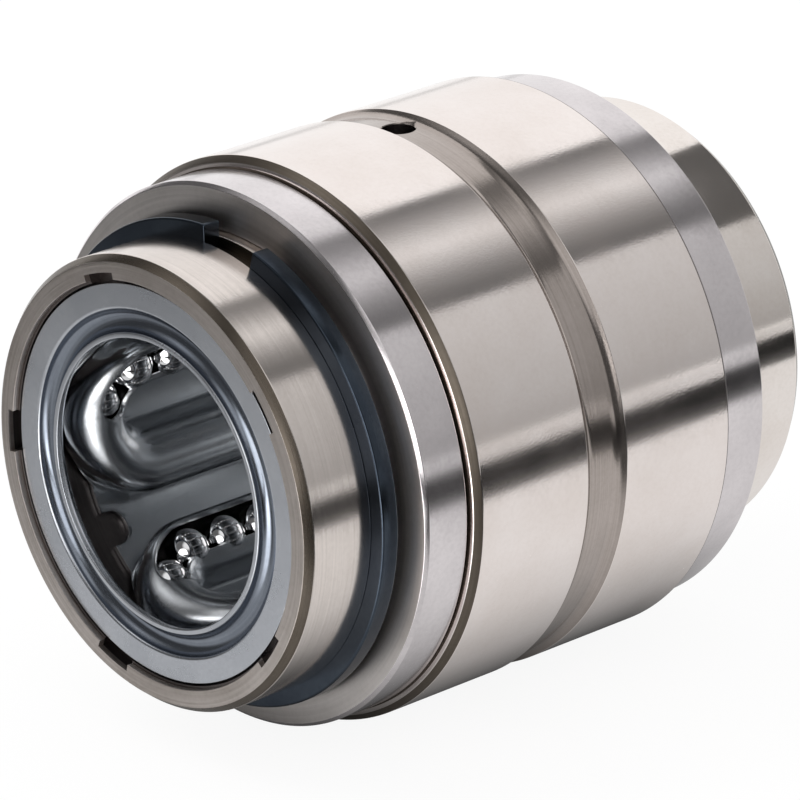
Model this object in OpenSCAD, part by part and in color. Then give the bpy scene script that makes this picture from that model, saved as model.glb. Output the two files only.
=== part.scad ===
// Rotary linear bushing: a closed ball bushing that carries a needle bearing on its outside.
// The axis lies along Y, the front end points to -Y, and the origin is the middle of the bushing.

/* [Shaft and balls] */
// Diameter of the shaft that runs in the bushing
shaft_d = 25; // [24:0.1:27]
// Diameter of the balls
ball_d = 3.969; // [3.8:0.01:4]
// Number of ball circuits round the shaft
circuit_count = 5; // [3:1:5]
// Angle of the middle of the first circuit, from +X towards +Z
circuit_start = 37.2; // [0:0.1:72]
// Angle from the middle of a circuit to each of its two ball rows
row_angle = 18.3; // [18:0.1:18.8]
// Distance from the sleeve's end face to the end of each straight ball row
row_inset = 11.5; // [11:0.1:12.5]
// Part of the end turn in which the balls climb to the return row
climb_angle = 75; // [65:1:80]
// Least free length left to each ball on its path
ball_play = 0.14; // [0.1:0.01:0.3]

/* [Sleeve] */
// Length of the sleeve
sleeve_len = 58; // [54:0.5:66]
// Wall of the sleeve behind the cage
sleeve_wall = 2.9; // [2.6:0.05:3.5]
// How far the bore lies behind the ball raceways
raceway_height = 0.62; // [0.58:0.01:0.72]
// Radial size of the end chamfer
sleeve_bevel = 0.5; // [0.2:0.05:0.8]
// Axial size of the end chamfer
sleeve_bevel_len = 0.6; // [0.3:0.05:0.9]
// Distance from the sleeve's end face to the outer wall of the retaining-ring groove
groove_inset = 6.95; // [6:0.05:8]
// Width of each retaining-ring groove
groove_w = 1.85; // [1.8:0.05:2]
// Depth of each retaining-ring groove
groove_depth = 1; // [0.8:0.05:1.2]
// Number of small notches round each mouth
mouth_notches = 5; // [3:1:6]
// Angle covered by one notch of the mouth
mouth_notch_angle = 12; // [8:0.5:14]
// How far a notch reaches past the wall of the mouth
mouth_notch_depth = 0.5; // [0.3:0.05:0.6]

/* [End rings] */
// How far an end ring reaches past the bore
end_ring_seat = 0.35; // [0.3:0.05:0.5]
// How far an end ring lies below the sleeve's end face
end_ring_sink = 0.57; // [0.3:0.05:0.9]
// Width of the gap round an end ring's face
end_gap = 0.43; // [0.2:0.05:0.5]
// Radius of the round channel in an end ring
channel_r = 1; // [0.8:0.05:1.1]
// Wall of an end ring
end_ring_wall = 0.5; // [0.4:0.05:0.6]
// Free space between the shaft and an end ring's lip
lip_gap = 0.2; // [0.1:0.05:0.4]
// Wall of an end ring's skirt
skirt_wall = 1.15; // [0.9:0.05:1.2]

/* [Ball cage] */
// Thickness of the cage's sheet
cage_sheet = 0.45; // [0.35:0.05:0.5]
// Distance from the sleeve's end face to the edge of the cage between circuits
cage_edge = 6.5; // [6:0.1:7]
// Width of the rounded notch in the cage's edge
edge_notch_w = 3.1; // [2:0.1:4]
// Depth of the rounded notch in the cage's edge
edge_notch_depth = 2.1; // [1.8:0.1:3]
// Free space on each side of a ball in the slot
slot_gap = 0.15; // [0.1:0.05:0.2]
// Angle round the end turn that the slot follows
slot_turn = 72; // [60:1:76]

/* [Retaining rings] */
// Thickness of a retaining ring
clip_w = 1.75; // [1.6:0.05:1.78]
// Radial height of a retaining ring
clip_height = 2.48; // [2.2:0.02:2.8]
// Angle of the gap between a retaining ring's ends
clip_gap = 16.4; // [8:0.1:30]
// Place of the front ring's gap, from +X towards +Z
front_clip_turn = 83; // [0:1:359]
// Place of the rear ring's gap, from +X towards +Z
rear_clip_turn = 205; // [0:1:359]

/* [Spacer rings] */
// Radial height of a spacer ring
spacer_height = 3.98; // [3.5:0.02:4.3]
// Free length left between the rings on the sleeve
ring_float = 0.85; // [0.2:0.05:1.2]
// Edge chamfer of a spacer ring
spacer_bevel = 0.3; // [0.1:0.05:0.5]

/* [Needle bearing] */
// Wall of the outer ring behind the needles
ring_wall = 2.46; // [2:0.02:3.5]
// Width of the outer ring
ring_w = 30; // [26:0.5:33]
// Edge chamfer of the outer ring
ring_bevel = 0.6; // [0.3:0.05:0.8]
// Width of the ribs at the ends of the outer ring
rib_w = 2.1; // [1.8:0.1:2.3]
// Free space between a rib and the sleeve
rib_gap = 0.7; // [0.5:0.05:0.9]
// Diameter of a needle
needle_d = 2.5; // [2:0.1:2.6]
// Width of the needle cage's end bars
end_bar_w = 0.86; // [0.7:0.02:1.5]
// Number of needles
needle_count = 36; // [20:1:36]
// Rounding at a needle's ends
needle_round = 0.4; // [0.2:0.05:0.6]
// Step from the sleeve up to the needle cage
cage_step_in = 0.45; // [0.3:0.05:0.6]
// Step from the needle cage up to the outer raceway
cage_step_out = 0.3; // [0.2:0.05:0.5]
// Width of the lubrication groove at the surface
lube_groove_w = 4.6; // [3.6:0.1:6]
// Depth of the lubrication groove
lube_groove_depth = 0.6; // [0.3:0.05:0.8]
// Diameter of the lubrication hole
lube_hole_d = 3; // [2:0.1:3.2]
// Place of the lubrication hole, from +X towards +Z
lube_hole_turn = 92; // [0:1:359]

/* [Fits] */
// Gap between a ball and what it rolls on
ball_fit = 0.01; // [0.005:0.005:0.02]
// Gap between a needle and each of its raceways
needle_fit = 0.02; // [0.01:0.005:0.04]
// Gap between a ring and the bore or sleeve that it sits on
ring_fit = 0.02; // [0.01:0.005:0.04]
// Gap between the cage and the bore
cage_fit = 0.05; // [0.03:0.01:0.08]
// Gap between end faces that turn against each other
face_gap = 0.05; // [0.03:0.01:0.1]
// Gap round a ball in the turns of the cage
turn_gap = 0.15; // [0.1:0.01:0.2]
// Gap between a raceway and the wall of the cage beside it
raceway_gap = 0.1; // [0.05:0.01:0.2]
// Gap between a needle and the sides of its pocket
pocket_gap = 0.04; // [0.02:0.01:0.06]

/* [Hidden] */
$fn = 96;
over = 1;

shaft_r = shaft_d / 2;
ball_r = ball_d / 2;
raceway_r = shaft_r + ball_d + ball_fit;
bore_r = hundredths(raceway_r + raceway_height);
sleeve_r = bore_r + sleeve_wall;
half_len = sleeve_len / 2;
row_len = sleeve_len - 2 * row_inset;
circuit_step = 360 / circuit_count;

load_r = shaft_r + ball_r;
return_r = bore_r - ball_r - 2 * ball_fit;
turn_r = row_angle * PI / 180 * (load_r + return_r) / 2;
path_len = 2 * row_len + 2 * PI * turn_r;
ball_count = floor(path_len / (ball_d + ball_play));
ball_pitch = path_len / ball_count;
first_ball = 0.03;
ball_shift = 0.30;

cap_r_out = return_r - ball_r - ball_fit;
cap_r_in = cap_r_out - cage_sheet;
web_r_out = bore_r - cage_fit;
web_r_in = web_r_out - cage_sheet;
pocket_r = hundredths(return_r * sin(row_angle) + ball_r + turn_gap);
body_r = pocket_r + cage_sheet;
raceway_angle = 2 * (asin((pocket_r - raceway_gap) / bore_r) - row_angle);
island_r = hundredths(load_r * sin(row_angle) - ball_r - turn_gap);
slot_w = 2 * sqrt(pow(ball_r, 2) - pow(load_r - cap_r_out, 2)) + 2 * slot_gap;
body_x_in = sqrt(pow(cap_r_in, 2) - pow(body_r, 2)) - cage_fit;
slot_x_out = (cap_r_out + load_r) / 2;

end_ring_r = bore_r + end_ring_seat;
seat_r = end_ring_r + ring_fit;
lip_r = shaft_r + lip_gap;
channel_mid = lip_r + end_ring_wall + channel_r;
skirt_end = row_len / 2 + body_r + 2 * face_gap;
skirt_r_in = end_ring_r - skirt_wall;

groove_r = sleeve_r - groove_depth;
clip_r = groove_r + ring_fit + clip_height;
clip_z = half_len - groove_inset - clip_w;
spacer_w = clip_z - (ring_w + ring_float + 3 * face_gap) / 2;
needle_mid = sleeve_r + needle_fit + needle_d / 2;
outer_race_r = needle_mid + needle_d / 2 + needle_fit;
ring_r = outer_race_r + ring_wall;
rib_r = sleeve_r + rib_gap;
ring_mid = -(clip_z - 2 * face_gap - spacer_w - ring_w / 2);
cage_len = ring_w - 2 * rib_w - 4 * face_gap;
needle_len = cage_len - 2 * end_bar_w - 2 * pocket_gap;
needle_cage_r_in = sleeve_r + cage_step_in;
needle_cage_r_out = outer_race_r - cage_step_out;

// The radii of the pressed outlines are whole hundredths of a millimetre.
function hundredths(v) = round(v * 100) / 100;

// Turns a shape made along Z so that its +Z end is the front of the bushing.
module on_axis() { rotate([90, 0, 0]) children(); }

module ring_shape(r_in, r_out, z0, z1) {
    translate([0, 0, z0]) difference() {
        cylinder(h = z1 - z0, r = r_out);
        translate([0, 0, -over]) cylinder(h = z1 - z0 + 2 * over, r = r_in);
    }
}

// A slice of a ring, between two angles.
module ring_slice(r_in, r_out, z0, z1, turn, angle) {
    translate([0, 0, z0]) rotate([0, 0, turn - angle / 2]) rotate_extrude(angle = angle)
        translate([r_in, 0]) square([r_out - r_in, z1 - z0]);
}

// An oblong outline along Z, pushed out at one angle from inside the cage to past the bore.
module oblong_plug(turn, r, len) {
    rotate([0, 0, turn]) translate([body_x_in, 0, 0]) rotate([90, 0, 90])
        linear_extrude(height = bore_r + 2 * over - body_x_in) {
            square([2 * r, len], center = true);
            for (s = [-1, 1]) translate([0, s * len / 2]) circle(r = r);
        }
}

// The sleeve.
module sleeve_profile() {
    polygon([
        [bore_r, -half_len], [sleeve_r - sleeve_bevel, -half_len], [sleeve_r, -half_len + sleeve_bevel_len],
        [sleeve_r, half_len - sleeve_bevel_len], [sleeve_r - sleeve_bevel, half_len], [bore_r, half_len]]);
}

module sleeve_mouth() {
    cut = half_len - end_ring_sink;
    translate([0, 0, skirt_end - face_gap]) cylinder(h = half_len, r = seat_r);
    translate([0, 0, cut]) cylinder(h = over + end_ring_sink, r = end_ring_r + end_gap);
    for (i = [0 : mouth_notches - 1])
        ring_slice(bore_r - over, end_ring_r + end_gap + mouth_notch_depth, cut - 2 * end_ring_wall, half_len + over,
            circuit_start + i * 360 / mouth_notches, mouth_notch_angle);
}

module bushing_sleeve() {
    color([0.76, 0.72, 0.68]) on_axis() {
        difference() {
            rotate_extrude() sleeve_profile();
            for (s = [0, 1]) mirror([0, 0, s]) {
                sleeve_mouth();
                ring_shape(groove_r, sleeve_r + over, half_len - groove_inset - groove_w, half_len - groove_inset);
            }
        }
        for (i = [0 : circuit_count - 1])
            ring_slice(raceway_r, bore_r + over / 2, -row_len / 2 - ball_r / 4, row_len / 2 + ball_r / 4,
                circuit_start + i * circuit_step - row_angle, raceway_angle);
    }
}

// The end rings.
module end_ring_profile() {
    face = half_len - end_ring_sink;
    difference() {
        union() {
            translate([channel_mid, face - end_ring_wall]) square([end_ring_r - channel_mid, end_ring_wall]);
            translate([skirt_r_in, skirt_end]) square([skirt_wall, face - skirt_end]);
            difference() {
                translate([channel_mid, face]) circle(r = channel_r + end_ring_wall);
                translate([0, face]) square([2 * end_ring_r, 2 * channel_r + 2 * end_ring_wall]);
            }
        }
        translate([channel_mid, face]) circle(r = channel_r);
    }
}

module end_ring() { color([0.62, 0.65, 0.69]) on_axis() rotate_extrude() end_ring_profile(); }

module front_end_ring() { end_ring(); }
module rear_end_ring() { mirror([0, 1, 0]) end_ring(); }

// The ball cage: a thin tube between the circuits, and a raised body over each circuit, with an
// oblong island in its middle that the balls run round and that is open towards the shaft.
module circuit_body(turn) {
    difference() {
        union() {
            difference() {
                intersection() {
                    ring_shape(cap_r_in, web_r_out, -half_len, half_len);
                    oblong_plug(turn, body_r, row_len);
                }
                intersection() {
                    ring_shape(cap_r_out, bore_r + over, -half_len, half_len);
                    oblong_plug(turn, pocket_r, row_len);
                }
            }
            intersection() {
                ring_shape(cap_r_out - cage_sheet / 2, web_r_out, -half_len, half_len);
                oblong_plug(turn, island_r, row_len);
            }
        }
        intersection() {
            cylinder(h = sleeve_len, r = web_r_in, center = true);
            oblong_plug(turn, island_r - cage_sheet, row_len);
        }
        straight_slot(turn - row_angle);
        for (s = [0, 1]) mirror([0, 0, s]) turn_slot(turn);
    }
}

// The slot over the loaded row, and its curved ends over the first part of each turn.
module straight_slot(turn) {
    rotate([0, 0, turn]) translate([body_x_in, -slot_w / 2, -row_len / 2])
        cube([slot_x_out - body_x_in, slot_w, row_len]);
}

module turn_slot(turn) {
    mid = turn_r * slot_x_out / load_r;
    half_w = slot_w / 2 + slot_gap;
    reach = 2 * turn_r;
    rotate([0, 0, turn]) translate([body_x_in, 0, row_len / 2]) rotate([90, 0, 90])
        linear_extrude(height = slot_x_out - body_x_in) intersection() {
            difference() {
                circle(r = mid + half_w);
                circle(r = mid - half_w);
            }
            polygon([[0, -slot_gap], [-reach, -slot_gap], [-reach, 0],
                [-reach * cos(slot_turn / 2), reach * sin(slot_turn / 2)],
                [-reach * cos(slot_turn), reach * sin(slot_turn)]]);
        }
}

module ball_cage() {
    edge = half_len - cage_edge;
    notch_r = edge_notch_w / 2;
    color([0.55, 0.58, 0.62]) on_axis() {
        difference() {
            ring_shape(web_r_in, web_r_out, -edge, edge);
            for (i = [0 : circuit_count - 1]) {
                turn = circuit_start + i * circuit_step;
                oblong_plug(turn, pocket_r, row_len);
                for (s = [-1, 1]) translate([0, 0, s * (edge + half_len - edge_notch_depth)])
                    oblong_plug(turn + circuit_step / 2, notch_r, sleeve_len - 2 * notch_r);
            }
        }
        for (i = [0 : circuit_count - 1]) circuit_body(circuit_start + i * circuit_step);
    }
}

// The balls. A place on the path is [angle from the circuit's middle, distance from the axis, Z].
function climb(a) = load_r + (return_r - load_r) * (1 - cos(180 * min(1, a / climb_angle))) / 2;
function turn_place(a) = [-row_angle * cos(a), climb(a), -row_len / 2 - turn_r * sin(a)];
function flip(p) = [p[0], p[1], -p[2]];
function turn_deg(s) = s / turn_r * 180 / PI;
function wrap(s) = s - path_len * floor(s / path_len);
function path_place(s) =
    s < row_len ? [-row_angle, load_r, row_len / 2 - s]
    : s < row_len + PI * turn_r ? turn_place(turn_deg(s - row_len))
    : s < 2 * row_len + PI * turn_r ? [row_angle, return_r, s - row_len * 1.5 - PI * turn_r]
    : flip(turn_place(180 - turn_deg(s - 2 * row_len - PI * turn_r)));
function ball_start(i) = ball_pitch * (first_ball + ball_shift * i);

module circuit_balls(number, loaded) {
    i = number - 1;
    turn = circuit_start + i * circuit_step;
    color([0.75, 0.77, 0.8]) on_axis() if (number <= circuit_count)
        for (k = [0 : ball_count - 1]) {
            p = path_place(wrap(ball_start(i) + k * ball_pitch));
            if ((p[0] < 0) == loaded)
                rotate([0, 0, turn + p[0]]) translate([p[1], 0, p[2]]) sphere(r = ball_r, $fn = 48);
        }
}

// The retaining rings.
module retaining_ring(z, turn) {
    color([0.16, 0.18, 0.23]) on_axis()
        ring_slice(groove_r + ring_fit, clip_r, z, z + clip_w, turn + 180, 360 - clip_gap);
}

module front_retaining_ring() { retaining_ring(clip_z, front_clip_turn); }
module rear_retaining_ring() { retaining_ring(-clip_z - clip_w, rear_clip_turn); }

// The spacer rings.
module spacer_ring(z) {
    r_in = sleeve_r + ring_fit;
    r_out = r_in + spacer_height;
    b = spacer_bevel;
    color([0.66, 0.66, 0.68]) on_axis() translate([0, 0, z]) rotate_extrude()
        polygon([[r_in, b], [r_in + b, 0], [r_out - b, 0], [r_out, b],
            [r_out, spacer_w - b], [r_out - b, spacer_w], [r_in + b, spacer_w], [r_in, spacer_w - b]]);
}

module front_spacer_ring() { spacer_ring(ring_mid + ring_w / 2 + face_gap); }
module rear_spacer_ring() { spacer_ring(ring_mid - ring_w / 2 - face_gap - spacer_w); }

// The needle bearing.
module outer_ring_profile() {
    r = ring_r;
    h = ring_w / 2;
    g = lube_groove_w / 2;
    d = lube_groove_depth;
    b = ring_bevel;
    polygon([
        [rib_r, h], [rib_r, h - rib_w], [outer_race_r, h - rib_w], [outer_race_r, -h + rib_w],
        [rib_r, -h + rib_w], [rib_r, -h], [r - b, -h], [r, -h + b],
        [r, -g], [r - d, d - g], [r - d, g - d], [r, g], [r, h - b], [r - b, h]]);
}

module needle_outer_ring() {
    color([0.74, 0.71, 0.68]) on_axis() translate([0, 0, ring_mid]) difference() {
        rotate_extrude() outer_ring_profile();
        rotate([0, 0, lube_hole_turn]) translate([rib_r, 0, 0]) rotate([0, 90, 0])
            cylinder(h = ring_r, r = lube_hole_d / 2);
    }
}

module needle_cage() {
    slot_len = needle_len + 2 * pocket_gap;
    color([0.5, 0.49, 0.46]) on_axis() translate([0, 0, ring_mid]) difference() {
        ring_shape(needle_cage_r_in, needle_cage_r_out, -cage_len / 2, cage_len / 2);
        for (i = [0 : needle_count - 1]) rotate([0, 0, i * 360 / needle_count])
            translate([sleeve_r, -needle_d / 2 - pocket_gap, -slot_len / 2])
                cube([2 * needle_d, needle_d + 2 * pocket_gap, slot_len]);
    }
}

module needle() {
    r = needle_d / 2;
    h = needle_len / 2;
    c = needle_round;
    rotate_extrude() difference() {
        translate([0, -h]) square([r, 2 * h]);
        for (s = [-1, 1]) translate([r - c, s * (h - c)]) difference() {
            translate([0, s > 0 ? 0 : -c]) square(c);
            circle(r = c);
        }
    }
}

module needle_rollers() {
    color([0.72, 0.73, 0.75]) on_axis() translate([0, 0, ring_mid])
        for (i = [0 : needle_count - 1]) rotate([0, 0, i * 360 / needle_count])
            translate([needle_mid, 0, 0]) needle();
}

bushing_sleeve();
front_end_ring();
rear_end_ring();
ball_cage();
for (i = [1 : 5]) {
    circuit_balls(i, true);
    circuit_balls(i, false);
}
front_retaining_ring();
rear_retaining_ring();
front_spacer_ring();
rear_spacer_ring();
needle_outer_ring();
needle_cage();
needle_rollers();
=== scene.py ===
"""A rotary linear bushing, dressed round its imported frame.

The bushing's axis lies along Y with its front end at -Y, and angles round it run from +X towards +Z.
Sizes are written in millimetres and turned into metres where a mesh is made. Angles are in degrees.
"""
import math

import bmesh
import bpy
from mathutils import Matrix, Vector


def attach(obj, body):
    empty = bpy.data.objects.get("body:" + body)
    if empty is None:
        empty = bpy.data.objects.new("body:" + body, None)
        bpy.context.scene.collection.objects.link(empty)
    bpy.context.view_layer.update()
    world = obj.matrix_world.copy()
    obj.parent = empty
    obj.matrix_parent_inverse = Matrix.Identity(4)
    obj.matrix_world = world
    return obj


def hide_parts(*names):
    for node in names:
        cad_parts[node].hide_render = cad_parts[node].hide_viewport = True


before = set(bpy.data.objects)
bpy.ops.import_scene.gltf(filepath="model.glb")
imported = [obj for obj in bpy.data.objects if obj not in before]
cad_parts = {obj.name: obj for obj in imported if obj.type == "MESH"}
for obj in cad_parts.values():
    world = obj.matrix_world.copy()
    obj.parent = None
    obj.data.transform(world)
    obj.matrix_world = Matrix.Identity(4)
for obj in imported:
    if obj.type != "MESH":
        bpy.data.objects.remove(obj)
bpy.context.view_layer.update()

MM = 0.001

# Camera
CAMERA_AZIMUTH = 47.434
CAMERA_ELEVATION = 22.171
CAMERA_ROLL = -0.333
CAMERA_DISTANCE = 574.524
CAMERA_AIM = (-0.229, -0.128, -0.342)
CAMERA_LENS = 298.3
CAMERA_REACH = 10000.0
SENSOR = 36.0

# Shaft and balls
SHAFT_R = 12.5
BALL_R = 1.9845
BALL_FIT = 0.01

# Sleeve
SLEEVE_LEN = 58.0
SLEEVE_END = SLEEVE_LEN / 2
SLEEVE_R = 20.0
BORE_R = 17.1
SLEEVE_BEVEL = (0.58, 0.74)
MOUTH_R = 17.88
GAP_R = 17.65
GAP_DEPTH = 1.1
GAP_SLOPE = 0.2
GROOVE_INSET = 6.95
GROOVE_W = 1.85
GROOVE_R = SLEEVE_R - 1.0
RACEWAY_R = SHAFT_R + 2 * BALL_R + BALL_FIT
RACEWAY_ANGLE = 10.06
LAND_ROOT = 0.3
NOTCH_ANGLE = 12.0
NOTCH_R = 18.5
NOTCH_DEPTH = 1.57

# End rings
END_RING_R = BORE_R + 0.35
SEAT_R = END_RING_R + 0.02
SEAT_PLAY = 0.05
END_RING_SINK = 0.57
END_RING_WALL = 0.5
SKIRT_R = END_RING_R - 1.15
SKIRT_END = 4.07
CHANNEL_R = 1.0
LIP_R = SHAFT_R + 0.2
CHANNEL_MID = LIP_R + END_RING_WALL + CHANNEL_R

# Ball circuits
CIRCUITS = 5
CIRCUIT_START = 37.2
CIRCUIT_STEP = 360 / CIRCUITS
ROW_ANGLE = 18.3
ROW_LEN = 35.0
LOAD_R = SHAFT_R + BALL_R
RETURN_R = BORE_R - BALL_R - 2 * BALL_FIT
TURN_R = math.radians(ROW_ANGLE) * (LOAD_R + RETURN_R) / 2
CLIMB_ANGLE = 75.0
BALL_COUNT = 24
FIRST_BALL = 0.03
BALL_SHIFT = 0.30

# Cage sheet
SHEET = 0.45
WEB_R = BORE_R - 0.05 - SHEET
CAP_R = 12.65
WALL_OUT = 6.87 + SHEET
WALL_IN = 2.41 - SHEET
FOOT_R = 0.5
WALL_REACH = WALL_OUT + FOOT_R
FLARE_TURN = 20.0
WELL_ROUND = 0.35
CAGE_END = SLEEVE_END - 6.5
CAGE_BEVEL = 0.1
EDGE_NOTCH_R = 1.55
EDGE_NOTCH_DEPTH = 2.1
SLOT_IN = 2.98
SLOT_OUT = 6.12
SLOT_TURN = 84.0
SLOT_ROUND = 24.0
WEB_PARTS = 5
DOME_PARTS = 10

# Retaining rings. The faces are those of the front one.
CLIP_R = (GROOVE_R + 0.02, 21.5)
CLIP_W = 1.75
CLIP_Y = (GROOVE_INSET - SLEEVE_END, GROOVE_INSET - SLEEVE_END + CLIP_W)
CLIP_GAP = 16.4
CLIP_TURN = {"front": 83.0, "rear": 205.0}
CLIP_BEVEL = 0.12

# Needle bearing's outer ring and the spacer rings beside it
FACE_GAP = 0.05
SPACER_R = (SLEEVE_R + 0.02, 24.0)
SPACER_W = 4.8
SPACER_BEVEL = 0.3
OUTER_R = 25.0
OUTER_HALF = 15.0
OUTER_MID = -CLIP_Y[1] - 2 * FACE_GAP - SPACER_W - OUTER_HALF
OUTER_BEVEL = 0.6
# Each spacer ring's front face.
SPACER_Y = {"front": OUTER_MID - OUTER_HALF - FACE_GAP - SPACER_W,
            "rear": OUTER_MID + OUTER_HALF + FACE_GAP}
NEEDLE_D = 2.5
NEEDLE_FIT = 0.02
RACE_R = SLEEVE_R + NEEDLE_D + 2 * NEEDLE_FIT
RIB_R = SLEEVE_R + 0.7
RIB_W = 2.1
LUBE_HALF = 2.3
LUBE_DEPTH = 0.6
LUBE_ROUND = 1.3
LUBE_HOLE_R = 1.5
LUBE_HOLE_TURN = 92.0
LUBE_SINK = 0.24

# Meshes
STEPS = 256
SHARP = math.radians(40)
MERGE = 0.002
CUT_PAST = 1.0

# Finishes. Each colour is a pair, lighter and darker.
PATCH_SCALE = 120.0
SPECK_SCALE = 2500.0
SPECK_SHARE = 0.25
LINE_SCALE = 9000.0
STREAK_SCALE = 6.0
# The sleeve's front cylinder, painted darker and browner as a painted darker reflection.
PAINTED_DARK_REFLECTION = ((0.84, 0.77, 0.73), (0.66, 0.60, 0.56))
TURNED = ((0.60, 0.55, 0.52), (0.34, 0.30, 0.27))
GROUND = ((0.70, 0.66, 0.64), (0.50, 0.47, 0.45))
OLIVE = ((0.165, 0.14, 0.115), (0.095, 0.078, 0.062))
DULL = ((0.52, 0.46, 0.43), (0.36, 0.315, 0.285))
# Painted shade for the bore, the hollows of the mouths, the lubrication hole and the gap behind the outer
# ring.
PAINTED_SHADE = ((0.16, 0.14, 0.135), (0.09, 0.08, 0.077))
# The end ring's round channel, painted dark blue-grey as painted shade.
PAINTED_CHANNEL_SHADE = ((0.30, 0.33, 0.38), (0.18, 0.20, 0.24))

# Studio
FLOOR_Z = -25.0
FLOOR_R = 3000.0
FLOOR_TONE = 0.8
FLOOR_GLOW = 1.06
FLOOR_SHARE = 0.86
ROOM_LIGHT = 0.8
LAMP_POWER = 2.0
LAMP_SIZE = 500.0
LAMP_PLACE = (-450.0, -500.0, 800.0)

# Cards. A shade is how bright a card is, and the stops of the two drums are angle and shade.
CARD_R = 500.0
CARD_HALF = 1200.0
CARD_STEP = 1.5
SIDE_CARD = ((1, 0.38), (11, 0.46), (31, 0.54), (51, 0.62), (55.6, 0.64))
UPPER_CARD = ((55.6, 0.13), (61, 0.16), (68, 0.3), (75, 0.58), (81, 0.82), (87, 0.62), (92, 0.4),
              (99, 0.19), (104, 0.14))
FLAG_Y = 60.0
FLAG_R = (48.0, 62.0)
FLAG_TURNS = (51.5, 92.5)
FLAG_SHADE = 0.11
KERB_X = 95.0
# Height on the kerb, and shade.
KERB_SHADES = ((FLOOR_Z, 0.16), (-18, 0.05), (-13, 0.02), (-3, 0.018))
ROOM_REACH = 430.0
ROOM_SHADE = 0.11
# Direction, half angles of the full and of the whole light, and brightness.
FRONT_LIGHTS = (((0.43, -0.89, 0.10), 17, 27, 2.6), ((0.40, -0.86, -0.31), 9, 16, 2.2),
                ((0.5, -0.45, 0.74), 14, 30, 0.7))

# The floor that the metal mirrors, a card with the object's shadow and pools of the soft lights painted on. A
# pair is where a change starts and where it is done.
OPEN_SHADE = 0.8
# Distance along X from the line that the object stands on, and shade.
UNDER_SHADES = ((8, 0.06), (13, 0.14), (16, 0.30), (22, 0.5), (28, 0.68), (40, 0.8))
UNDER_ENDS = (18, 40)
FRONT_STARTS = 12
FRONT_LEFT = (-0.737, -0.676)
# Distance towards the front left, and shade.
FRONT_SHADES = ((44, 0.66), (60, 0.64), (75, 0.52), (93, 0.46), (112, 0.40), (120, 0.38), (150, 0.2))
DARK_SHADE = 0.1
DARK_RIGHT = ((45, 70), (12, 30))
DARK_FRONT = ((-20, 5), (55, 75))
WHITE_LEFT = ((50, 90), (-20, 0))
REAR_STARTS = 90
REAR_SHADE = 0.66
LIT_FRONT = (35, 55)


# Making meshes

def mesh_piece(name, points, faces=(), edges=()):
    """A mesh object whose points are given in millimetres."""
    mesh = bpy.data.meshes.new(name)
    mesh.from_pydata([Vector(p) * MM for p in points], edges, faces)
    piece = bpy.data.objects.new(name, mesh)
    bpy.context.collection.objects.link(piece)
    return piece


def bake(piece):
    """Turns a piece and its modifiers into one plain mesh."""
    graph = bpy.context.evaluated_depsgraph_get()
    mesh = bpy.data.meshes.new_from_object(piece.evaluated_get(graph))
    name = piece.name
    old = piece.data
    baked = bpy.data.objects.new(name, mesh)
    bpy.data.objects.remove(piece)
    if old.users == 0 and isinstance(old, bpy.types.Mesh):
        bpy.data.meshes.remove(old)
    baked.name = name
    mesh.name = name
    bpy.context.collection.objects.link(baked)
    return baked


def tidy(piece, close=False):
    """Merges doubles, closes open ends where asked, and turns every face outwards."""
    work = bmesh.new()
    work.from_mesh(piece.data)
    bmesh.ops.remove_doubles(work, verts=work.verts, dist=MERGE * MM)
    bmesh.ops.dissolve_degenerate(work, edges=work.edges, dist=MERGE / 2 * MM)
    if close:
        bmesh.ops.holes_fill(work, edges=[e for e in work.edges if e.is_boundary], sides=0)
    bmesh.ops.recalc_face_normals(work, faces=work.faces)
    work.to_mesh(piece.data)
    work.free()


def soften(piece, width=0.0, segments=2):
    """Bevels the sharp edges where a width is given, and weights the normals so that flats stay flat."""
    if width:
        bevel = piece.modifiers.new("edges", "BEVEL")
        bevel.width = width * MM
        bevel.segments = segments
        bevel.limit_method = "ANGLE"
        bevel.angle_limit = SHARP
        bevel.use_clamp_overlap = True
        piece = bake(piece)
    piece.data.shade_smooth()
    piece.data.set_sharp_from_angle(angle=SHARP)
    weights = piece.modifiers.new("normals", "WEIGHTED_NORMAL")
    weights.mode = "FACE_AREA"
    weights.keep_sharp = True
    return bake(piece)


def carve(piece, cutter, operation="DIFFERENCE"):
    """Cuts a cutter out of a piece, or joins it on."""
    step = piece.modifiers.new("cut", "BOOLEAN")
    step.operation = operation
    step.solver = "EXACT"
    step.object = cutter
    done = bake(piece)
    bpy.data.objects.remove(cutter)
    return done


def hand_over(piece, body, slot, *nodes):
    """Says which body a finished piece moves with and hides the CAD nodes that it stands for. The slot is not
    used.
    """
    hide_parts(*nodes)
    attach(piece, body)


# Node trees

def add(tree, kind, **settings):
    """A new node with its settings."""
    node = tree.nodes.new(kind)
    for key, value in settings.items():
        setattr(node, key, value)
    return node


def plug(tree, socket, value):
    """Links an input to another node's output, or sets it."""
    if isinstance(value, bpy.types.NodeSocket):
        tree.links.new(value, socket)
    else:
        socket.default_value = value


def feed(tree, node, **values):
    """Links or sets a node's inputs, named as in the editor with underscores for spaces."""
    for key, value in values.items():
        plug(tree, node.inputs[key.replace("_", " ")], value)
    return node


def calc(tree, operation, first, second=0.0, third=0.0):
    """The result of a Math node."""
    node = add(tree, "ShaderNodeMath", operation=operation)
    for socket, value in zip(node.inputs, (first, second, third)):
        plug(tree, socket, value)
    return node.outputs[0]


def span(tree, value, low, high, start=0.0, stop=1.0):
    """Maps a value's range to another, clamped."""
    node = add(tree, "ShaderNodeMapRange")
    feed(tree, node, Value=value, From_Min=start, From_Max=stop, To_Min=low, To_Max=high)
    return node.outputs[0]


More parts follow.
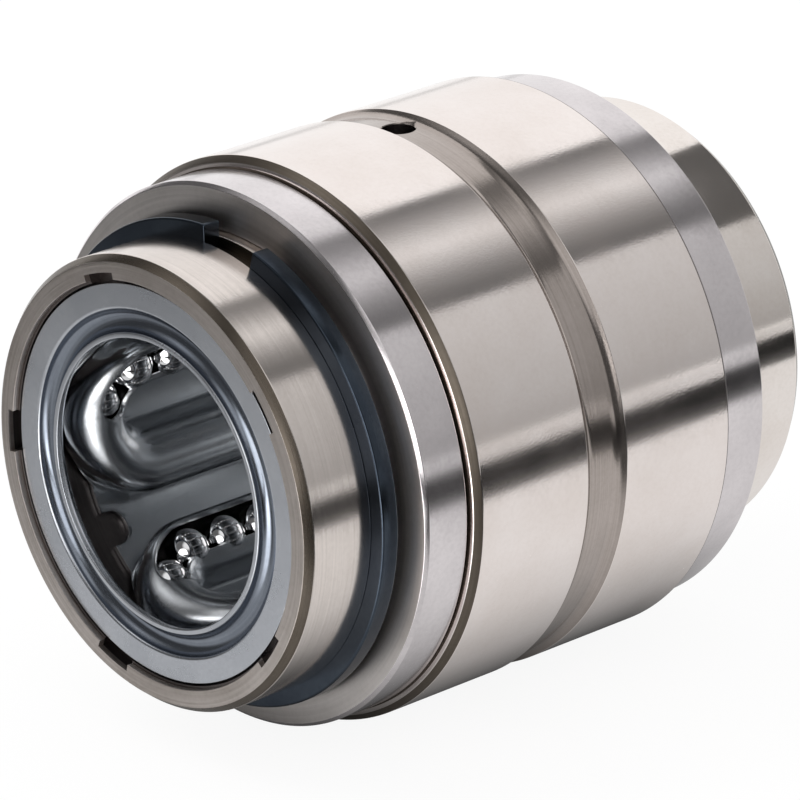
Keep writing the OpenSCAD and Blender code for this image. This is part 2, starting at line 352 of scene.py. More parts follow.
def geometry_tree(name, inputs):
    """A geometry node tree with named inputs, and its input and output nodes."""
    tree = bpy.data.node_groups.new(name, "GeometryNodeTree")
    face = tree.interface
    face.new_socket("Geometry", in_out="INPUT", socket_type="NodeSocketGeometry")
    for title, kind, value in inputs:
        socket = face.new_socket(title, in_out="INPUT", socket_type="NodeSocket" + kind)
        if value is not None:
            socket.default_value = value
    face.new_socket("Geometry", in_out="OUTPUT", socket_type="NodeSocketGeometry")
    return tree, add(tree, "NodeGroupInput"), add(tree, "NodeGroupOutput")


def grow(piece, tree, **values):
    """Runs a geometry tree on a piece with the named inputs set, and bakes it."""
    modifier = piece.modifiers.new(tree.name, "NODES")
    modifier.node_group = tree
    for item in tree.interface.items_tree:
        key = item.name.replace(" ", "_").lower()
        if item.in_out == "INPUT" and key in values:
            modifier[item.identifier] = values[key]
    return bake(piece)


def turning_tree():
    """Turns a closed profile, drawn as points (radius, Y, 0) in order, round the Y axis."""
    tree, start, end = geometry_tree("turning", [
        ("Steps", "Int", STEPS), ("Start", "Float", 0.0), ("Sweep", "Float", math.tau),
        ("Finish", "Material", None)])
    profile = start.outputs["Geometry"]
    size = add(tree, "GeometryNodeAttributeDomainSize", component="MESH")
    feed(tree, size, Geometry=profile)
    points = size.outputs["Point Count"]
    grid = add(tree, "GeometryNodeMeshGrid")
    feed(tree, grid, Size_X=1.0, Size_Y=1.0, Vertices_X=calc(tree, "ADD", points, 1.0),
         Vertices_Y=calc(tree, "ADD", start.outputs["Steps"], 1.0))
    split = add(tree, "ShaderNodeSeparateXYZ")
    feed(tree, split, Vector=add(tree, "GeometryNodeInputPosition").outputs[0])
    along = calc(tree, "ROUND", calc(tree, "MULTIPLY", calc(tree, "ADD", split.outputs["X"], 0.5), points))
    sample = add(tree, "GeometryNodeSampleIndex", data_type="FLOAT_VECTOR", domain="POINT")
    feed(tree, sample, Geometry=profile, Value=add(tree, "GeometryNodeInputPosition").outputs[0],
         Index=calc(tree, "MODULO", along, points))
    place = add(tree, "ShaderNodeSeparateXYZ")
    feed(tree, place, Vector=sample.outputs["Value"])
    share = calc(tree, "ADD", split.outputs["Y"], 0.5)
    angle = calc(tree, "MULTIPLY_ADD", share, start.outputs["Sweep"], start.outputs["Start"])
    spot = add(tree, "ShaderNodeCombineXYZ")
    feed(tree, spot, X=calc(tree, "MULTIPLY", place.outputs["X"], calc(tree, "COSINE", angle)),
         Y=place.outputs["Y"], Z=calc(tree, "MULTIPLY", place.outputs["X"], calc(tree, "SINE", angle)))
    moved = add(tree, "GeometryNodeSetPosition")
    feed(tree, moved, Geometry=grid.outputs["Mesh"], Position=spot.outputs[0])
    merged = add(tree, "GeometryNodeMergeByDistance")
    feed(tree, merged, Geometry=moved.outputs[0], Distance=MERGE / 2 * MM)
    real = add(tree, "GeometryNodeRealizeInstances")
    feed(tree, real, Geometry=merged.outputs[0])
    painted = add(tree, "GeometryNodeSetMaterial")
    feed(tree, painted, Geometry=real.outputs[0], Material=start.outputs["Finish"])
    tree.links.new(painted.outputs[0], end.inputs[0])
    return tree


def ball_tree():
    """Puts a ball on each point."""
    tree, start, end = geometry_tree("balls_on_path", [
        ("Radius", "Float", BALL_R * MM), ("Segments", "Int", 40), ("Rings", "Int", 20),
        ("Finish", "Material", None)])
    ball = add(tree, "GeometryNodeMeshUVSphere")
    feed(tree, ball, Segments=start.outputs["Segments"], Rings=start.outputs["Rings"],
         Radius=start.outputs["Radius"])
    placed = add(tree, "GeometryNodeInstanceOnPoints")
    feed(tree, placed, Points=start.outputs["Geometry"], Instance=ball.outputs["Mesh"])
    real = add(tree, "GeometryNodeRealizeInstances")
    feed(tree, real, Geometry=placed.outputs[0])
    smooth = add(tree, "GeometryNodeSetShadeSmooth")
    feed(tree, smooth, Geometry=real.outputs[0])
    painted = add(tree, "GeometryNodeSetMaterial")
    feed(tree, painted, Geometry=smooth.outputs[0], Material=start.outputs["Finish"])
    tree.links.new(painted.outputs[0], end.inputs[0])
    return tree


# Profiles

def arc(mid, radius, start, stop, parts):
    """Points on an arc in the (radius, Y) plane."""
    turns = [math.radians(start + (stop - start) * k / parts) for k in range(parts + 1)]
    return [(mid[0] + radius * math.cos(a), mid[1] + radius * math.sin(a)) for a in turns]


def rounded(corners, parts=4):
    """A closed outline from corners (radius, Y, rounding)."""
    points = []
    for k, (r, y, rounding) in enumerate(corners):
        here = Vector((r, y))
        if not rounding:
            points.append(tuple(here))
            continue
        back = (Vector(corners[k - 1][:2]) - here).normalized()
        ahead = (Vector(corners[(k + 1) % len(corners)][:2]) - here).normalized()
        half = back.angle(ahead) / 2
        reach = rounding / math.tan(half)
        mid = here + (back + ahead).normalized() * rounding / math.sin(half)
        first = here + back * reach - mid
        last = here + ahead * reach - mid
        sweep = first.angle_signed(last)
        for part in range(parts + 1):
            points.append(tuple(mid + Matrix.Rotation(-sweep * part / parts, 2) @ first))
    return points


def mirrored(corners):
    """Corners given for the front half, with the rear half added."""
    return corners + [(r, -y, rounding) for r, y, rounding in reversed(corners)]


def turned(name, profile, finish, start=0.0, sweep=360.0, steps=STEPS):
    """A ring turned from a closed profile, or a slice of one."""
    count = len(profile)
    edges = [(k, (k + 1) % count) for k in range(count)]
    drawn = mesh_piece(name, [(r, y, 0) for r, y in profile], edges=edges)
    ring = grow(drawn, TURNING, steps=steps, start=math.radians(start), sweep=math.radians(sweep),
                finish=finish)
    tidy(ring, close=sweep < 360)
    return ring


# Making finishes

def shader_group(name, inputs, outputs):
    """A shader node group with named number inputs and outputs, and its input and output nodes."""
    tree = bpy.data.node_groups.new(name, "ShaderNodeTree")
    for title, value in inputs:
        socket = tree.interface.new_socket(title, in_out="INPUT", socket_type="NodeSocketFloat")
        socket.default_value = value
    for title in outputs:
        tree.interface.new_socket(title, in_out="OUTPUT", socket_type="NodeSocketFloat")
    return tree, add(tree, "NodeGroupInput"), add(tree, "NodeGroupOutput")


def turned_place(tree):
    """Object coordinates as angle round the axis, Y and distance from the axis."""
    split = add(tree, "ShaderNodeSeparateXYZ")
    feed(tree, split, Vector=add(tree, "ShaderNodeTexCoord").outputs["Object"])
    x, y, z = split.outputs
    angle = calc(tree, "ARCTAN2", z, x)
    square = calc(tree, "ADD", calc(tree, "MULTIPLY", x, x), calc(tree, "MULTIPLY", z, z))
    return angle, y, calc(tree, "SQRT", square)


def turned_grain():
    """Fine lines that run round the axis, as a height and a mask."""
    inputs = [("Line Scale", LINE_SCALE), ("Streak Scale", STREAK_SCALE)]
    tree, start, end = shader_group("turned_grain", inputs, ["Height", "Mask"])
    streak = start.outputs["Streak Scale"]
    angle, y, radius = turned_place(tree)
    spot = add(tree, "ShaderNodeCombineXYZ")
    feed(tree, spot, X=calc(tree, "MULTIPLY", calc(tree, "COSINE", angle), streak),
         Y=calc(tree, "MULTIPLY", calc(tree, "ADD", y, radius), start.outputs["Line Scale"]),
         Z=calc(tree, "MULTIPLY", calc(tree, "SINE", angle), streak))
    noise = add(tree, "ShaderNodeTexNoise", noise_dimensions="3D")
    feed(tree, noise, Vector=spot.outputs[0], Scale=1.0, Detail=3.0, Roughness=0.6)
    feed(tree, end, Height=noise.outputs[0], Mask=span(tree, noise.outputs[0], 0.0, 1.0, 0.3, 0.7))
    return tree


def mottle():
    """Cloudy patches with fine specks, as a mask."""
    inputs = [("Patch Scale", PATCH_SCALE), ("Speck Scale", SPECK_SCALE), ("Speck Share", SPECK_SHARE)]
    tree, start, end = shader_group("mottle", inputs, ["Mask"])
    place = add(tree, "ShaderNodeTexCoord").outputs["Object"]
    patch = add(tree, "ShaderNodeTexNoise", noise_dimensions="3D")
    feed(tree, patch, Vector=place, Scale=start.outputs["Patch Scale"], Detail=4.0, Roughness=0.55)
    speck = add(tree, "ShaderNodeTexNoise", noise_dimensions="3D")
    feed(tree, speck, Vector=place, Scale=start.outputs["Speck Scale"], Detail=2.0, Roughness=0.5)
    blend = add(tree, "ShaderNodeMix", data_type="FLOAT")
    tree.links.new(start.outputs["Speck Share"], blend.inputs[0])
    tree.links.new(span(tree, patch.outputs[0], 0.0, 1.0, 0.35, 0.65), blend.inputs[2])
    tree.links.new(span(tree, speck.outputs[0], 0.0, 1.0, 0.4, 0.7), blend.inputs[3])
    feed(tree, end, Mask=blend.outputs[0])
    return tree


def placed_group(tree, group, **values):
    """A group placed in a material with its inputs set."""
    return feed(tree, add(tree, "ShaderNodeGroup", node_tree=group), **values)


def mix_colour(tree, share, first, second):
    """The first colour where the share is nought, the second where it is one."""
    node = add(tree, "ShaderNodeMix", data_type="RGBA")
    plug(tree, node.inputs[0], share)
    for socket, value in ((node.inputs[6], first), (node.inputs[7], second)):
        plug(tree, socket, (*value, 1.0) if isinstance(value, tuple) else value)
    return node.outputs[2]


def inside(tree, box):
    """One where a surface lies in a box, which is given by the Y of its middle, the least and the greatest
    distance from there along Y, and the least and the greatest radius."""
    y, radius = turned_place(tree)[1:]
    middle, near, far, low, high = (value * MM for value in box)
    reach = calc(tree, "ABSOLUTE", calc(tree, "SUBTRACT", y, middle))
    share = calc(tree, "GREATER_THAN", reach, near)
    for test in (calc(tree, "LESS_THAN", reach, far), calc(tree, "GREATER_THAN", radius, low),
                 calc(tree, "LESS_THAN", radius, high)):
        share = calc(tree, "MULTIPLY", share, test)
    return share


def metal(name, light, dark, rough, grain=0.0, line_scale=LINE_SCALE, dents=0.0, dent_scale=500.0,
          regions=()):
    """A bare metal whose colour and roughness vary in patches, with turned lines and soft dents in it.
    Each region is a box and the colours, the roughness and the depth of lines that hold inside it."""
    material = bpy.data.materials.new(name)
    material.use_nodes = True
    tree = material.node_tree
    tree.nodes.clear()
    steel = add(tree, "ShaderNodeBsdfPrincipled")
    steel.inputs["Metallic"].default_value = 1.0
    patches = placed_group(tree, MOTTLE, Patch_Scale=PATCH_SCALE, Speck_Scale=SPECK_SCALE,
                           Speck_Share=SPECK_SHARE).outputs["Mask"]
    lines = placed_group(tree, GRAIN, Line_Scale=line_scale, Streak_Scale=STREAK_SCALE)
    colour = mix_colour(tree, patches, light, dark)
    roughness = span(tree, patches, *rough)
    height = calc(tree, "MULTIPLY", lines.outputs["Height"], grain)
    if regions:
        coarse = placed_group(tree, GRAIN, Line_Scale=line_scale / 2, Streak_Scale=1.0)
        worn = calc(tree, "MULTIPLY", calc(tree, "ADD", coarse.outputs["Mask"], patches), 0.5)
    for box, shades, dullness, depth in regions:
        share = inside(tree, box)
        colour = mix_colour(tree, share, colour, mix_colour(tree, worn, *shades))
        dull = span(tree, worn, *dullness)
        roughness = calc(tree, "MULTIPLY_ADD", calc(tree, "SUBTRACT", dull, roughness), share, roughness)
        cuts = calc(tree, "MULTIPLY", coarse.outputs["Height"], depth)
        height = calc(tree, "MULTIPLY_ADD", calc(tree, "SUBTRACT", cuts, height), share, height)
    feed(tree, steel, Base_Color=colour, Roughness=roughness)
    normal = None
    if grain or regions:
        bump = add(tree, "ShaderNodeBump")
        feed(tree, bump, Strength=1.0, Distance=MM, Height=height)
        normal = bump.outputs[0]
    if dents:
        soft = add(tree, "ShaderNodeTexNoise", noise_dimensions="3D")
        place = add(tree, "ShaderNodeTexCoord").outputs["Object"]
        feed(tree, soft, Vector=place, Scale=dent_scale, Detail=2.0)
        bump = add(tree, "ShaderNodeBump")
        feed(tree, bump, Strength=1.0, Distance=dents * MM, Height=soft.outputs[0])
        if normal:
            feed(tree, bump, Normal=normal)
        normal = bump.outputs[0]
    if normal:
        feed(tree, steel, Normal=normal)
    out = add(tree, "ShaderNodeOutputMaterial")
    tree.links.new(steel.outputs[0], out.inputs[0])
    return material


def finishes():
    """The finish of every slot, with the regions where it is turned, ground or dull, and where painted shade
    or a painted darker reflection darkens it.
    """
    past = 40.0
    face = SLEEVE_END - END_RING_SINK + 0.02
    chamfer_r = SLEEVE_R - SLEEVE_BEVEL[0] + 0.02
    groove_end = SLEEVE_END - GROOVE_INSET + 0.95
    sleeve_skin = SLEEVE_R - 0.04
    outer_skin = OUTER_R - 0.03
    outer_end = OUTER_HALF - 0.7
    # The front cylinder with a painted darker reflection, the end faces, the chamfers, the grooves, and all
    # that lies deeper than the faces, painted dark as painted shade.
    sleeve_regions = (
        ((-SLEEVE_END, 0, GROOVE_INSET, sleeve_skin, past), PAINTED_DARK_REFLECTION, (0.13, 0.21), 0.001),
        ((0, face - 2, past, 0, chamfer_r), TURNED, (0.34, 0.44), 0.035),
        ((0, face - 0.2, past, chamfer_r, sleeve_skin), OLIVE, (0.22, 0.32), 0.002),
        ((0, 0, groove_end, BORE_R + 0.5, sleeve_skin), OLIVE, (0.3, 0.4), 0.002),
        # Painted shade on the bore, the mouths' gaps and the notch floors.
        ((0, 0, face, 0, NOTCH_R + 0.2), PAINTED_SHADE, (0.3, 0.4), 0.001))
    # The lubrication groove, its hole painted dark as painted shade, the chamfers, the rear edge painted dark
    # as the painted shadow of the gap beside the spacer, and the end faces.
    rear_edge = (OUTER_MID + OUTER_HALF, 0, OUTER_BEVEL + 0.08, OUTER_R - OUTER_BEVEL, past)
    outer_regions = (
        ((OUTER_MID, 0, LUBE_HALF + 0.02, 0, outer_skin), DULL, (0.13, 0.2), 0.001),
        ((OUTER_MID, 0, LUBE_HALF, 0, OUTER_R - LUBE_DEPTH - 0.1), PAINTED_SHADE, (0.3, 0.4), 0.001),
        ((OUTER_MID, outer_end, past, OUTER_R - 0.56, outer_skin), OLIVE, (0.3, 0.4), 0.002),
        (rear_edge, PAINTED_SHADE, (0.3, 0.4), 0.001),
        ((OUTER_MID, outer_end, past, 0, OUTER_R - 0.9), OLIVE, (0.3, 0.4), 0.003))
    spacer_regions = (((0, 0, past, 0, SPACER_R[1] - 0.34), GROUND, (0.3, 0.38), 0.003),)
    # The channel is painted darker as painted shade in its hollow.
    channel = (0, 0, face - 0.14, LIP_R + 0.15, CHANNEL_MID + CHANNEL_R)
    channel_shade_regions = ((channel, PAINTED_CHANNEL_SHADE, (0.16, 0.24), 0.0),)
    return {
        "sleeve_steel": metal("sleeve_steel", (0.90, 0.84, 0.80), (0.80, 0.73, 0.68), (0.07, 0.14),
                              grain=0.0008, dents=0.0022, dent_scale=5500, regions=sleeve_regions),
        "outer_ring_steel": metal("outer_ring_steel", (0.91, 0.84, 0.81), (0.84, 0.76, 0.72), (0.1, 0.16),
                                  grain=0.0008, dents=0.003, dent_scale=5200, regions=outer_regions),
        "spacer_steel": metal("spacer_steel", (0.80, 0.755, 0.765), (0.66, 0.62, 0.63), (0.13, 0.2),
                              grain=0.003, line_scale=6000, dents=0.0008, dent_scale=7000,
                              regions=spacer_regions),
        "end_ring_steel": metal("end_ring_steel", (0.58, 0.60, 0.64), (0.48, 0.50, 0.54), (0.2, 0.3),
                                dents=0.0015, regions=channel_shade_regions),
        "cage_steel": metal("cage_steel", (0.68, 0.70, 0.72), (0.54, 0.56, 0.59), (0.18, 0.28), dents=0.006,
                            dent_scale=2200),
        "ball_steel": metal("ball_steel", (0.9, 0.9, 0.91), (0.86, 0.86, 0.87), (0.02, 0.04)),
        "blued_steel": metal("blued_steel", (0.065, 0.08, 0.10), (0.035, 0.045, 0.062), (0.14, 0.26),
                             dents=0.001),
        "needle_cage_steel": metal("needle_cage_steel", (0.55, 0.54, 0.51), (0.4, 0.39, 0.36), (0.25, 0.4)),
        "needle_steel": metal("needle_steel", (0.82, 0.83, 0.85), (0.76, 0.76, 0.78), (0.08, 0.12)),
    }


# Sleeve and rings

def circuit_turn(number):
    """The angle of a circuit's middle."""
    return CIRCUIT_START + number * CIRCUIT_STEP


def mouth_notch(number, side):
    """What is cut out of a mouth for one of its small notches."""
    past, deep = side * (SLEEVE_END + CUT_PAST), side * (SLEEVE_END - NOTCH_DEPTH)
    outline = [(BORE_R - CUT_PAST, past), (NOTCH_R, past), (NOTCH_R, deep), (BORE_R - CUT_PAST, deep)]
    start = circuit_turn(number) - NOTCH_ANGLE / 2
    return turned("notch", outline, FINISH["sleeve_steel"], start, NOTCH_ANGLE, 9)


def raceway_land(number):
    """The raised track in the bore for a circuit's loaded row."""
    half = ROW_LEN / 2 + BALL_R / 4
    root = BORE_R + LAND_ROOT
    outline = [(RACEWAY_R, -half), (root, -half), (root, half), (RACEWAY_R, half)]
    start = circuit_turn(number) - ROW_ANGLE - RACEWAY_ANGLE / 2
    return turned("land", outline, FINISH["sleeve_steel"], start, RACEWAY_ANGLE, 7)


def sleeve():
    """The ground sleeve, with its mouths, retaining-ring grooves and ball raceways."""
    end = -SLEEVE_END
    seat = end + SKIRT_END + SEAT_PLAY
    face = end + END_RING_SINK
    gap = end + GAP_DEPTH
    groove = end + GROOVE_INSET
    front = [
        (BORE_R, seat, 0.1), (SEAT_R, seat, 0), (SEAT_R, gap + GAP_SLOPE, 0), (GAP_R, gap, 0),
        (GAP_R, face, 0.04), (MOUTH_R, face, 0), (MOUTH_R, end, 0.07),
        (SLEEVE_R - SLEEVE_BEVEL[0], end, 0.12), (SLEEVE_R, end + SLEEVE_BEVEL[1], 0.15),
        (SLEEVE_R, groove, 0.08), (GROOVE_R, groove, 0), (GROOVE_R, groove + GROOVE_W, 0),
        (SLEEVE_R, groove + GROOVE_W, 0.08)]
    body = turned("sleeve", rounded(mirrored(front)), FINISH["sleeve_steel"])
    for number in range(CIRCUITS):
        for side in (1, -1):
            body = carve(body, mouth_notch(number, side))
        body = carve(body, raceway_land(number), "UNION")
    tidy(body)
    hand_over(soften(body), "bushing", "sleeve_steel", "bushing_sleeve")


def end_ring(side):
    """A pressed ring: a flat face, a round channel and a thin upright lip. It is drawn as the rear one."""
    face = SLEEVE_END - END_RING_SINK
    skirt = SLEEVE_END - SKIRT_END
    back = CHANNEL_R + END_RING_WALL
    meet = math.degrees(math.asin(END_RING_WALL / back))
    edge = 0.12
    bend = 0.3
    rim = 0.05
    mid = (CHANNEL_MID, face)
    # The lip stands nearly upright where both sides of the channel run into it.
    outline = arc((LIP_R + edge, face - edge), edge, 90, 180, 4)
    outline += arc(mid, back, 185, 360 - meet, 28)
    outline += [(SKIRT_R, face - END_RING_WALL), (SKIRT_R, skirt), (END_RING_R, skirt)]
    outline += arc((END_RING_R - rim, face - rim), rim, 0, 90, 3)
    # The bend from the flat into the channel touches both.
    mid_r = CHANNEL_MID + math.sqrt((CHANNEL_R + bend) ** 2 - bend ** 2)
    touch = math.degrees(math.asin(bend / (CHANNEL_R + bend)))
    outline += arc((mid_r, face - bend), bend, 90, 180 - touch, 6)
    outline += arc(mid, CHANNEL_R, -touch, -172, 24)[1:]
    outline += arc((CHANNEL_MID - CHANNEL_R - edge, face - edge), edge, 0, 90, 4)[1:]
    way = -1 if side == "front" else 1
    ring = turned(side + "_end_ring_sheet", [(r, y * way) for r, y in outline], FINISH["end_ring_steel"])
    hand_over(soften(ring), "bushing", "end_ring_steel", side + "_end_ring")


def retaining_ring(side):
    """An open ring of blued strip."""
    sign = 1 if side == "front" else -1
    low, high = sorted(sign * y for y in CLIP_Y)
    inner, outer = CLIP_R
    outline = rounded([(inner, low, 0.12), (outer, low, 0.2), (outer, high, 0.2), (inner, high, 0.12)])
    start = CLIP_TURN[side] + CLIP_GAP / 2
    ring = turned(side + "_clip", outline, FINISH["blued_steel"], start, 360 - CLIP_GAP)
    hand_over(soften(ring, CLIP_BEVEL, 3), "bushing", "blued_steel", side + "_retaining_ring")


def spacer_ring(side):
    """A ground ring beside the needle bearing, bevelled at its four edges."""
    low, high = SPACER_Y[side], SPACER_Y[side] + SPACER_W
    inner, outer = SPACER_R
    bevel = SPACER_BEVEL
    corners = [(inner, low + bevel), (inner + bevel, low), (outer - bevel, low), (outer, low + bevel),
               (outer, high - bevel), (outer - bevel, high), (inner + bevel, high), (inner, high - bevel)]
    ring = turned(side + "_spacer", rounded([(r, y, 0.1) for r, y in corners]), FINISH["spacer_steel"])
    hand_over(soften(ring), "bushing", "spacer_steel", side + "_spacer_ring")


def lube_drill():
    """What is cut out for the lubrication hole, with its sunk mouth."""
    floor_r = OUTER_R - LUBE_DEPTH
    mouth = LUBE_HOLE_R + LUBE_SINK
    levels = ((RIB_R, LUBE_HOLE_R), (floor_r - 0.12, LUBE_HOLE_R), (floor_r + 0.16, mouth),
              (OUTER_R + CUT_PAST, mouth))
    sides = 48
    turn = math.radians(LUBE_HOLE_TURN)
    out = Vector((math.cos(turn), 0, math.sin(turn)))
    across = Vector((-math.sin(turn), 0, math.cos(turn)))
    along = Vector((0, 1, 0))
    points = []
    for depth, radius in levels:
        for k in range(sides):
            a = math.tau * k / sides
            y = OUTER_MID + radius * math.cos(a)
            points.append(out * depth + along * y + across * radius * math.sin(a))
    last = (len(levels) - 1) * sides
    faces = [(j + k, j + (k + 1) % sides, j + sides + (k + 1) % sides, j + sides + k)
             for j in range(0, last, sides) for k in range(sides)]
    faces += [tuple(range(sides)), tuple(range(last, last + sides))]
    drill = mesh_piece("drill", points, faces)
    drill.data.materials.append(FINISH["outer_ring_steel"])
    tidy(drill)
    return drill


def outer_ring():
    """The needle bearing's outer ring, with its lubrication groove and hole."""
    front, rear = OUTER_MID - OUTER_HALF, OUTER_MID + OUTER_HALF
    floor_r = OUTER_R - LUBE_DEPTH
    corners = [
        (RIB_R, front, 0.15), (OUTER_R - OUTER_BEVEL, front, 0.15), (OUTER_R, front + OUTER_BEVEL, 0.2),
        (OUTER_R, OUTER_MID - LUBE_HALF, 0.1), (floor_r, OUTER_MID - LUBE_HALF + LUBE_DEPTH, LUBE_ROUND),
        (floor_r, OUTER_MID + LUBE_HALF - LUBE_DEPTH, LUBE_ROUND), (OUTER_R, OUTER_MID + LUBE_HALF, 0.1),
        (OUTER_R, rear - OUTER_BEVEL, 0.2), (OUTER_R - OUTER_BEVEL, rear, 0.15), (RIB_R, rear, 0.15),
        (RIB_R, rear - RIB_W, 0.1), (RACE_R, rear - RIB_W, 0), (RACE_R, front + RIB_W, 0),
        (RIB_R, front + RIB_W, 0.1)]
    ring = turned("outer_ring", rounded(corners), FINISH["outer_ring_steel"])
    ring = carve(ring, lube_drill())
    tidy(ring)
    hand_over(soften(ring), "outer_ring", "outer_ring_steel", "needle_outer_ring")


# Balls

def ball_spot(way):
    """A place on a circuit's closed path: angle from the circuit's middle, distance from the axis and Y."""
    turn_len = math.pi * TURN_R
    way %= 2 * (ROW_LEN + turn_len)

    def on_turn(part):
        angle = part / TURN_R
        rise = (1 - math.cos(math.pi * min(1.0, math.degrees(angle) / CLIMB_ANGLE))) / 2
        radius = LOAD_R + (RETURN_R - LOAD_R) * rise
        return -ROW_ANGLE * math.cos(angle), radius, ROW_LEN / 2 + TURN_R * math.sin(angle)

    if way < ROW_LEN:
        return -ROW_ANGLE, LOAD_R, way - ROW_LEN / 2
    if way < ROW_LEN + turn_len:
        return on_turn(way - ROW_LEN)
    if way < 2 * ROW_LEN + turn_len:
        return ROW_ANGLE, RETURN_R, 1.5 * ROW_LEN + turn_len - way
    turn, radius, y = on_turn(2 * (ROW_LEN + turn_len) - way)
    return turn, radius, -y


def balls():
    """The balls of each circuit."""
    pitch = 2 * (ROW_LEN + math.pi * TURN_R) / BALL_COUNT
    for number in range(CIRCUITS):
        circuit = f"circuit_{number + 1}"
        spots = []
        for k in range(BALL_COUNT):
            turn, radius, y = ball_spot(pitch * (FIRST_BALL + BALL_SHIFT * number + k))
            a = math.radians(circuit_turn(number) + turn)
            spots.append((radius * math.cos(a), y, radius * math.sin(a)))
        row = grow(mesh_piece(circuit + "_balls", spots), BALLS, finish=FINISH["ball_steel"])
        hand_over(row, "bushing", "ball_steel", circuit + "_load_balls", circuit + "_return_balls")


# Cage. Places on it are drawn as (distance from the circuit's middle line, radius) across the sheet.

def wall_section():
    """A circuit's raised wall: its foot, its dome's middle and radius, the middle and half angle of the slot
    in the dome, and its inner bend."""
    dome_r = (WALL_OUT - WALL_IN) / 2
    dome = ((WALL_OUT + WALL_IN) / 2, CAP_R + dome_r)
    foot = arc((WALL_OUT + FOOT_R, WEB_R - FOOT_R), FOOT_R, 90, 180, 4)
    slot_from = -math.degrees(math.acos((SLOT_OUT - dome[0]) / dome_r))
    slot_to = -math.degrees(math.acos((SLOT_IN - dome[0]) / dome_r))
    inner = arc((WALL_IN - WELL_ROUND, WEB_R - WELL_ROUND), WELL_ROUND, 0, 90, 4)
    return foot, dome, dome_r, (slot_from + slot_to) / 2, (slot_from - slot_to) / 2, inner


def cage_loop(limit, web_steps):
    """Steps round a circuit: (middle's Y, direction, turn past the loaded row). The web leaves the wall at the
    limit."""
    straight = 16
    free = 34
    turns = [limit * k / web_steps for k in range(web_steps)]
    turns += [limit + (180.0 - 2 * limit) * k / free for k in range(free)]
    turns += [180.0 - limit + limit * k / web_steps for k in range(web_steps)]
    half = ROW_LEN / 2
    steps = [(-half + ROW_LEN * k / straight, 180.0, 0.0) for k in range(straight)]
    steps += [(half, 180.0 - a, a) for a in turns]
    steps += [(half - ROW_LEN * k / straight, 0.0, 180.0) for k in range(straight)]
    steps += [(-half, -a, 180.0 - a) for a in turns]
    return steps


def slot_share(turn):
    """Share of the slot's full width, which narrows to a round end in the turn."""
    past = (turn - (SLOT_TURN - SLOT_ROUND)) / SLOT_ROUND
    return 1.0 if past <= 0 else math.sqrt(max(0.0, 1.0 - past * past))


def web_edge(corner):
    """The web's edge from the end of the straight rows, round the notch, to the corner where the wall leaves
    it: (angle from the circuit's middle, Y) for each step."""
    half_step = CIRCUIT_STEP / 2
    deep = CAGE_END - EDGE_NOTCH_DEPTH
    line = [(half_step, ROW_LEN / 2 + (deep - ROW_LEN / 2) * k / 3) for k in range(3)]
    notch = arc((0, deep + EDGE_NOTCH_R), EDGE_NOTCH_R, -90, -180, 6)
    line += [(half_step + math.degrees(x / WEB_R), y) for x, y in notch]
    mouth = half_step - math.degrees(EDGE_NOTCH_R / WEB_R)
    line += [(mouth + (corner - mouth) * k / 4, CAGE_END) for k in range(5)]
    return line


def web_points(middle, step, edge):
    """The web's points at a step, from its edge, (angle, Y), to the wall's foot."""
    y_mid, direction, turn = step
    across, along = math.cos(math.radians(direction)), math.sin(math.radians(direction))
    edge_turn = math.copysign(edge[0], across)
    edge_y = math.copysign(edge[1], along) if 0.0 < turn < 180.0 else y_mid
    foot_turn = math.degrees(math.asin(WALL_REACH * across / WEB_R))
    foot_y = y_mid + WALL_REACH * along
    points = []
    for k in range(WEB_PARTS):
        share = k / WEB_PARTS
        a = math.radians(middle + edge_turn + (foot_turn - edge_turn) * share)
        points.append((WEB_R * math.cos(a), edge_y + (foot_y - edge_y) * share, WEB_R * math.sin(a)))
    return points


def wall_points(middle, step, flare, wall):
    """The wall's points at a step, from its foot over the dome to the circuit's middle line."""
    foot, dome, dome_r, slot_mid, slot_half, inner = wall
    y_mid, direction, turn = step
    across, along = math.cos(math.radians(direction)), math.sin(math.radians(direction))
    open_half = slot_half * slot_share(turn)
    section = [(WALL_OUT + (d - WALL_OUT) * flare, r) for d, r in foot]
    section += arc(dome, dome_r, 0, slot_mid + open_half, DOME_PARTS)
    section += arc(dome, dome_r, slot_mid - open_half, -180, DOME_PARTS)
    section += inner + [(WALL_IN / 3, WEB_R), (0.0, WEB_R)]
    points = []
    for d, r in section:
        a = math.radians(middle) + math.asin(d * across / r)
        points.append((r * math.cos(a), y_mid + d * along, r * math.sin(a)))
    return points


